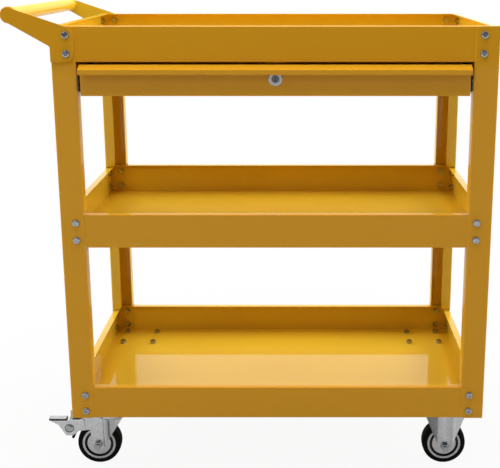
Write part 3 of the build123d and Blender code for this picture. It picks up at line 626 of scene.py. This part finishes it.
def black_rubber(colour, name):
    """Moulded rubber: matt, with a fine grain and a little bloom."""
    material, tree, shader, place = new_finish(name)
    bloom = noise(tree, place, rubber_bloom)
    set_inputs(tree, shader, {
        "Base Color": shaded(tree, bloom, colour, rubber_shades),
        "Roughness": varied(tree, bloom, rubber_roughness),
        "Normal": bumped(tree, noise(tree, place, rubber_grain), rubber_grain_depth),
        "Specular IOR Level": rubber_mirror,
    })
    return material


# Surfaces


def grid_quads(count_u, count_v, closed_u):
    """Four-cornered faces of a grid of points, joined round across it, and along it where that is closed."""
    u = np.arange(count_u if closed_u else count_u - 1)
    v = np.arange(count_v)
    u, v = (axis.ravel() for axis in np.meshgrid(u, v, indexing="ij"))
    next_u = (u + 1) % count_u
    next_v = (v + 1) % count_v
    faces = (u * count_v + v, next_u * count_v + v, next_u * count_v + next_v, u * count_v + next_v)
    return np.stack(faces, axis=1)


def enclosed_volume(points, quads):
    """Signed volume inside the faces, from the tetrahedra that they make with the origin."""
    a, b, c, d = (points[quads[:, corner]] for corner in range(4))
    first = np.einsum("ij,ij->i", a, np.cross(b, c))
    second = np.einsum("ij,ij->i", a, np.cross(c, d))
    return (first + second).sum() / 6.0


def surface_piece(name, grid, material, body, closed_u=True):
    """Closed smooth mesh over a grid of points, its faces pointing outwards, riding on a body."""
    points = grid.reshape(-1, 3)
    quads = grid_quads(*grid.shape[:2], closed_u)
    if enclosed_volume(points, quads) < 0.0:
        quads = quads[:, ::-1]
    mesh = bpy.data.meshes.new(name)
    mesh.vertices.add(len(points))
    mesh.vertices.foreach_set("co", points.astype(np.float32).ravel())
    mesh.loops.add(quads.size)
    mesh.loops.foreach_set("vertex_index", quads.astype(np.int32).ravel())
    mesh.polygons.add(len(quads))
    mesh.polygons.foreach_set("loop_start", np.arange(0, quads.size, 4, dtype=np.int32))
    mesh.polygons.foreach_set("use_smooth", np.ones(len(quads), dtype=bool))
    mesh.update(calc_edges=True)
    mesh.validate()
    mesh.materials.append(material)
    piece = bpy.data.objects.new(name, mesh)
    bpy.context.scene.collection.objects.link(piece)
    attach(piece, body)
    return piece


def full_turn(steps):
    """Even angles round a full turn, up to the one before its end."""
    return np.linspace(0.0, 2.0 * math.pi, steps, endpoint=False)


def signed_power(values, exponent):
    """Power of the size of each value, with its sign kept."""
    return np.sign(values) * np.abs(values) ** exponent


def tyre_points(wheel_settings, node, core):
    """Points of a tyre, as a section turned about the axle.

    The section is a superellipse in width and radius, squarer inside than outside, with a raised ring on
    each side and a mould line round the tread, each the shape of a bell curve. A point of the section at
    radius r and offset y, turned by angle a, lies at the wheel's middle plus (r cos a, y, r sin a).
    """
    low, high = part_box(node)
    core_low, core_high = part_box(core)
    middle = (low + high) / 2.0
    outer = (high.z - low.z) / 2.0 - wheel_settings.parting_line
    inner = (core_high.z - core_low.z) / 2.0
    half_width = (high.y - low.y) / 2.0 - wheel_settings.rim_line
    turn = full_turn(tyre_section_steps)
    power = np.where(np.sin(turn) > 0.0, 2.0 / wheel_settings.shoulder, 2.0 / wheel_settings.bead)
    radius = (outer + inner) / 2.0 + (outer - inner) / 2.0 * signed_power(np.sin(turn), power)
    offset = half_width * signed_power(np.cos(turn), power)
    line_radius = inner + rim_line_place * (outer - inner)
    bell = np.exp(-((radius - line_radius) / wheel_settings.rim_line_width) ** 2)
    on_side = np.abs(offset) > tyre_side_share * half_width
    offset = offset + wheel_settings.rim_line * bell * np.sign(offset) * on_side
    mould = np.exp(-(offset / wheel_settings.parting_width) ** 2)
    radius = radius + wheel_settings.parting_line * mould * (radius > (outer + inner) / 2.0)
    angle = full_turn(wheel_settings.tread_steps)[:, None]
    x = middle.x + radius * np.cos(angle)
    y = middle.y + offset * np.ones_like(angle)
    z = middle.z + radius * np.sin(angle)
    return np.stack((x, y, z), axis=-1)


def bead_points(centre, ring_radius, section_radius, steps, ripple=0.0, ripple_count=0):
    """Points of a round bead, as a ring about Y.

    The radius of its round section is the section radius times one plus the ripple times a cosine, which
    goes through the stated count of ripples round the ring.
    """
    angle = full_turn(steps)[:, None]
    across = full_turn(bead_section_steps)[None, :]
    section = section_radius * (1.0 + ripple * np.cos(ripple_count * angle))
    reach = ring_radius + section * np.cos(across)
    x = centre.x + reach * np.cos(angle)
    y = centre.y + section * np.sin(across)
    z = centre.z + reach * np.sin(angle)
    return np.stack((x, y, z), axis=-1)


def pedal_points(wheel_settings, node):
    """Points of a pedal's pressed plate: a thin crowned plate with rounded ribs across it.

    With u along the plate and v across it, both from minus one to one, the height over the plate's foot is
    the plate's thickness plus the rib height times the square of a sine of u. All of it is times the fourth
    root of one minus the fourth power of v and of one minus the sixteenth power of u, so that the top and
    the foot meet at the sides and the ends.
    """
    low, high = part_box(node)
    u = np.linspace(-1.0, 1.0, rib_steps * wheel_settings.rib_count + 1)[:, None]
    over = np.linspace(-1.0, 1.0, plate_cross_steps)
    v = np.concatenate((over, over[-2:0:-1]))[None, :]
    on_top = np.arange(v.size)[None, :] < over.size
    fade = ((1.0 - v ** plate_side_power) * (1.0 - u ** plate_end_power)) ** plate_edge_root
    ribs = np.sin(math.pi * wheel_settings.rib_count * (u + 1.0) / 2.0) ** 2
    rise = (wheel_settings.plate_height + wheel_settings.rib_height * ribs) * fade
    x = low.x + wheel_settings.plate_inset + wheel_settings.plate_length * (u + 1.0) / 2.0 * np.ones_like(v)
    y = low.y + wheel_settings.plate_inset + wheel_settings.plate_width * (v + 1.0) / 2.0 * np.ones_like(u)
    z = high.z + np.where(on_top, rise, 0.0)
    return np.stack((x, y, z), axis=-1)


# Stage


def bent_rays(tree, path):
    """One for what mirrors and clear pieces see, nought for the rest."""
    return calculated(tree, "MAXIMUM", path.outputs["Is Glossy Ray"], path.outputs["Is Transmission Ray"])


def floor_finish(stage):
    """Pale floor that keeps soft shadows: matt white mixed with plain white as the camera sees it."""
    material, tree, shader, place = new_finish("studio_floor")
    pale = (stage.floor_shade, stage.floor_shade, stage.floor_shade)
    set_inputs(tree, shader, {
        "Base Color": shaded(tree, noise(tree, place, floor_cloud), pale, floor_shades),
        "Roughness": floor_roughness,
        "Specular IOR Level": 0.0,
    })
    white = add_node(tree, "ShaderNodeEmission", {"Strength": plain_white})
    away = distance(tree, place)
    path = tree.nodes.new("ShaderNodeLightPath")
    bent = bent_rays(tree, path)
    for_camera = remapped(tree, away, stage.glow_reach, (stage.floor_glow, 1.0), smooth=True)
    for_mirrors = remapped(tree, away, stage.mirror_reach, (stage.mirror_glow, 1.0), smooth=True)
    glow = picked(tree, bent, for_camera, for_mirrors)
    seen = calculated(tree, "MAXIMUM", path.outputs["Is Camera Ray"], bent)
    layers = {
        "Fac": calculated(tree, "MULTIPLY", seen, glow),
        1: shader.outputs["BSDF"],
        2: white.outputs["Emission"],
    }
    mix = add_node(tree, "ShaderNodeMixShader", layers)
    set_inputs(tree, tree.nodes["Material Output"], {"Surface": mix.outputs["Shader"]})
    return material


def make_world(stage):
    """White surroundings, whose light on the object is set apart from how they look."""
    world = bpy.data.worlds.new("studio")
    world.use_nodes = True
    tree = world.node_tree
    towards = tree.nodes.new("ShaderNodeTexCoord").outputs["Generated"]
    behind = along(tree, towards, "Y")
    path = tree.nodes.new("ShaderNodeLightPath")
    lit = remapped(tree, behind, stage.turn, stage.ambient, smooth=True)
    mirrored = remapped(tree, behind, stage.turn, stage.mirrored, smooth=True)
    unseen = picked(tree, bent_rays(tree, path), lit, mirrored)
    strength = picked(tree, path.outputs["Is Camera Ray"], unseen, plain_white)
    set_inputs(tree, tree.nodes["Background"], {"Color": opaque((1.0, 1.0, 1.0)), "Strength": strength})
    bpy.context.scene.world = world


def soft_light(name, place, size, power, mirrored=False):
    """Square soft light that faces the trolley's middle, and that mirrors see if so stated."""
    lamp = bpy.data.lights.new(name, "AREA")
    lamp.shape = "SQUARE"
    lamp.size = size
    lamp.energy = power
    holder = bpy.data.objects.new(name, lamp)
    holder.location = place
    holder.visible_glossy = mirrored
    middle = (bare_low + bare_high) / 2.0
    holder.rotation_euler = (middle - Vector(place)).to_track_quat("-Z", "Y").to_euler()
    bpy.context.scene.collection.objects.link(holder)


def make_lights(stage):
    """Lights in front, overhead, behind and on both sides."""
    soft_light("front_light", stage.front_place, stage.front_size, stage.front_power, mirrored=True)
    soft_light("top_light", stage.top_place, stage.top_size, stage.top_power)
    soft_light("back_light", stage.back_place, stage.back_size, stage.back_power)
    x, y, z = stage.side_place
    soft_light("left_light", (-x, y, z), stage.side_size, stage.side_power)
    soft_light("right_light", (x, y, z), stage.side_size, stage.side_power)


def make_floor(stage):
    """Square floor under the wheels."""
    half = stage.floor_size / 2.0
    points = [(-half, -half, 0.0), (half, -half, 0.0), (half, half, 0.0), (-half, half, 0.0)]
    mesh = bpy.data.meshes.new("studio_floor")
    mesh.from_pydata(points, [], [(0, 1, 2, 3)])
    mesh.materials.append(floor_finish(stage))
    floor = bpy.data.objects.new("studio_floor", mesh)
    bpy.context.scene.collection.objects.link(floor)


def make_camera(stage):
    """Camera in front of the trolley, looking a little down."""
    camera = bpy.data.cameras.new("eye_level")
    camera.sensor_width = stage.sensor
    camera.lens = stage.lens
    camera.shift_x, camera.shift_y = stage.shift
    camera.clip_end = stage.sight
    holder = bpy.data.objects.new("eye_level", camera)
    holder.location = stage.eye
    holder.rotation_euler = (math.pi / 2.0 - stage.tilt, 0.0, 0.0)
    bpy.context.scene.collection.objects.link(holder)
    bpy.context.scene.camera = holder


# Operators


class TROLLEY_OT_paint_frame(Operator):
    """Powder coat on the posts, handle, side panels and strike"""
    bl_idname = "trolley.paint_frame"
    bl_label = "Paint Frame"

    def execute(self, context):
        paint = context.scene.trolley_paint
        assign(painted_frame, powder_coat(paint, paint.frame_skin, "frame_powder_coat"))
        return {"FINISHED"}


class TROLLEY_OT_paint_trays(Operator):
    """Glossier powder coat on the trays"""
    bl_idname = "trolley.paint_trays"
    bl_label = "Paint Trays"

    def execute(self, context):
        paint = context.scene.trolley_paint
        assign(painted_trays, powder_coat(paint, paint.skin, "tray_powder_coat"))
        return {"FINISHED"}


class TROLLEY_OT_paint_drawer(Operator):
    """Glossier powder coat on the drawer's front and box"""
    bl_idname = "trolley.paint_drawer"
    bl_label = "Paint Drawer"

    def execute(self, context):
        paint = context.scene.trolley_paint
        assign(painted_drawer, powder_coat(paint, paint.skin, "drawer_powder_coat"))
        return {"FINISHED"}


class TROLLEY_OT_finish_slides(Operator):
    """Rolled steel on the drawer slides, and polished steel on their balls and the casters' balls"""
    bl_idname = "trolley.finish_slides"
    bl_label = "Finish Slides"

    def execute(self, context):
        metal = context.scene.trolley_metal
        assign(slide_steel, rolled_steel(metal, "slide_steel"))
        assign(ball_steel, polished_metal(metal.balls, metal.chrome_roughness, "ball_steel"))
        return {"FINISHED"}


class TROLLEY_OT_finish_lock(Operator):
    """Bright plate on the drawer lock's face, with the recessed plug darkened as painted shade"""
    bl_idname = "trolley.finish_lock"
    bl_label = "Finish Lock"

    def execute(self, context):
        metal = context.scene.trolley_metal
        # The plug's darker plate is painted shade
        for node, shade in (("lock_barrel", metal.lock_shade), ("lock_plug", metal.plug_painted_shade)):
            face = tinted(metal.chrome, shade)
            assign([node], polished_metal(face, metal.chrome_roughness, node + "_plate"))
        return {"FINISHED"}


class TROLLEY_OT_finish_fasteners(Operator):
    """Zinc plate on the screws, nuts, rivets, bolts, pins, axles and lock cam"""
    bl_idname = "trolley.finish_fasteners"
    bl_label = "Finish Fasteners"

    def execute(self, context):
        metal = context.scene.trolley_metal
        zinc = tinted(metal.zinc, metal.fastener_shade)
        assign(fasteners, zinc_plate(zinc, metal.fastener_roughness, "fastener_zinc"))
        return {"FINISHED"}


class TROLLEY_OT_finish_casters(Operator):
    """Zinc plate on the casters' plates, forks and brake levers"""
    bl_idname = "trolley.finish_casters"
    bl_label = "Finish Casters"

    def execute(self, context):
        metal = context.scene.trolley_metal
        zinc = tinted(metal.zinc, metal.caster_shade)
        assign(caster_steel, zinc_plate(zinc, metal.zinc_roughness, "caster_zinc"))
        # Each fork's zinc carries its own painted reflections and shade in upright stripes
        for fork, side, painted_light_stops in caster_forks:
            for row in rows:
                finish = zinc_plate(zinc, metal.zinc_roughness, fork + "zinc_" + row, row + side, painted_light_stops)
                assign([fork + row], finish)
        return {"FINISHED"}


class TROLLEY_OT_finish_wheel_centres(Operator):
    """Pale ring on the dark wheel centres, turned steel on the hubs"""
    bl_idname = "trolley.finish_wheel_centres"
    bl_label = "Finish Wheel Centres"

    def execute(self, context):
        metal = context.scene.trolley_metal
        wheel_settings = context.scene.trolley_wheel
        for corner in corners:
            centre = box_middle("wheel_hub_" + corner)
            assign(["wheel_core_" + corner], wheel_plastic(wheel_settings, centre, "wheel_plastic_" + corner))
            assign(["wheel_hub_" + corner], turned_steel(metal, centre, "hub_steel_" + corner))
        return {"FINISHED"}


class TROLLEY_OT_make_tyres(Operator):
    """Moulded rubber tyres in place of the plain ones"""
    bl_idname = "trolley.make_tyres"
    bl_label = "Make Tyres"

    def execute(self, context):
        wheel_settings = context.scene.trolley_wheel
        rubber = black_rubber(wheel_settings.rubber, "tyre_rubber")
        for corner in corners:
            points = tyre_points(wheel_settings, "tyre_" + corner, "wheel_core_" + corner)
            tyre = surface_piece("moulded_tyre_" + corner, points, rubber, "wheel_" + corner)
            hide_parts("tyre_" + corner)
        return {"FINISHED"}


class TROLLEY_OT_make_pedals(Operator):
    """Rubber on the brake pedals, with a pressed plate on each and rings pressed round the pins, darkened as
    painted shadow outlines
    """
    bl_idname = "trolley.make_pedals"
    bl_label = "Make Pedals"

    def execute(self, context):
        wheel_settings = context.scene.trolley_wheel
        metal = context.scene.trolley_metal
        rubber = black_rubber(wheel_settings.pedal, "pedal_rubber")
        zinc = zinc_plate(tinted(metal.zinc, metal.caster_shade), metal.zinc_roughness, "pedal_zinc")
        # The pin rings take darker zinc as a painted shadow outline round each pin
        shadowed_ring_zinc = zinc_plate(tinted(metal.zinc, metal.painted_shadow_shade), metal.zinc_roughness, "ring_painted_shadow_zinc")
        for row in rows:
            assign(["brake_rubber_" + row], rubber)
            plate = pedal_points(wheel_settings, "brake_rubber_" + row)
            surface_piece("pedal_plate_" + row, plate, zinc, "brake_" + row, closed_u=False)
            centre = box_middle("brake_pin_" + row)
            centre.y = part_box("brake_lever_" + row)[0].y
            ring = bead_points(
                centre, wheel_settings.pin_ring, wheel_settings.pin_ring_section, pin_ring_steps)
            surface_piece("pin_ring_" + row, ring, shadowed_ring_zinc, "brake_" + row)
        return {"FINISHED"}


class TROLLEY_OT_make_welds(Operator):
    """Weld beads where the handle bar meets its arms"""
    bl_idname = "trolley.make_welds"
    bl_label = "Make Welds"

    def execute(self, context):
        weld = context.scene.trolley_weld
        paint = context.scene.trolley_paint
        coat = powder_coat(paint, paint.frame_skin, "weld_powder_coat")
        low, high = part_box("handle_bar")
        ring_radius = (high.z - low.z) / 2.0
        steps = ripple_steps * weld.ripple_count
        for row, y in (("front", low.y + weld.radius / 2.0), ("rear", high.y - weld.radius / 2.0)):
            centre = box_middle("handle_bar")
            centre.y = y
            bead = bead_points(centre, ring_radius, weld.radius, steps, weld.ripple, weld.ripple_count)
            surface_piece("handle_weld_" + row, bead, coat, "frame")
        return {"FINISHED"}


class TROLLEY_OT_set_stage(Operator):
    """Pale floor, soft light and a camera in front of the trolley"""
    bl_idname = "trolley.set_stage"
    bl_label = "Set Stage"

    def execute(self, context):
        stage = context.scene.trolley_stage
        make_world(stage)
        make_floor(stage)
        make_lights(stage)
        make_camera(stage)
        context.scene.view_settings.view_transform = "Standard"
        return {"FINISHED"}


operators = (
    TROLLEY_OT_paint_frame, TROLLEY_OT_paint_trays, TROLLEY_OT_paint_drawer,
    TROLLEY_OT_finish_slides, TROLLEY_OT_finish_lock, TROLLEY_OT_finish_fasteners,
    TROLLEY_OT_finish_casters, TROLLEY_OT_finish_wheel_centres,
    TROLLEY_OT_make_tyres, TROLLEY_OT_make_pedals, TROLLEY_OT_make_welds, TROLLEY_OT_set_stage,
)
setting_groups = {
    "trolley_paint": PaintSettings,
    "trolley_metal": MetalSettings,
    "trolley_wheel": WheelSettings,
    "trolley_weld": WeldSettings,
    "trolley_stage": StageSettings,
}


class TROLLEY_PT_sidebar(Panel):
    """Lists the steps that dress the trolley"""
    bl_label = "Tool Trolley"
    bl_idname = "TROLLEY_PT_sidebar"
    bl_space_type = "VIEW_3D"
    bl_region_type = "UI"
    bl_category = "Trolley"

    def draw(self, context):
        for operator in operators:
            self.layout.operator(operator.bl_idname)
        for group, kind in setting_groups.items():
            column = self.layout.box().column()
            for name in kind.__annotations__:
                column.prop(getattr(context.scene, group), name)


def register():
    for kind in (*setting_groups.values(), *operators, TROLLEY_PT_sidebar):
        bpy.utils.register_class(kind)
    for group, kind in setting_groups.items():
        setattr(bpy.types.Scene, group, PointerProperty(type=kind))


def unregister():
    for group in setting_groups:
        delattr(bpy.types.Scene, group)
    for kind in (TROLLEY_PT_sidebar, *operators, *setting_groups.values()):
        bpy.utils.unregister_class(kind)


def main():
    register()
    bpy.ops.trolley.paint_frame()
    bpy.ops.trolley.paint_trays()
    bpy.ops.trolley.paint_drawer()
    bpy.ops.trolley.finish_slides()
    bpy.ops.trolley.finish_lock()
    bpy.ops.trolley.finish_fasteners()
    bpy.ops.trolley.finish_casters()
    bpy.ops.trolley.finish_wheel_centres()
    bpy.ops.trolley.make_tyres()
    bpy.ops.trolley.make_pedals()
    bpy.ops.trolley.make_welds()
    bpy.ops.trolley.set_stage()


if __name__ == "__main__":
    main()
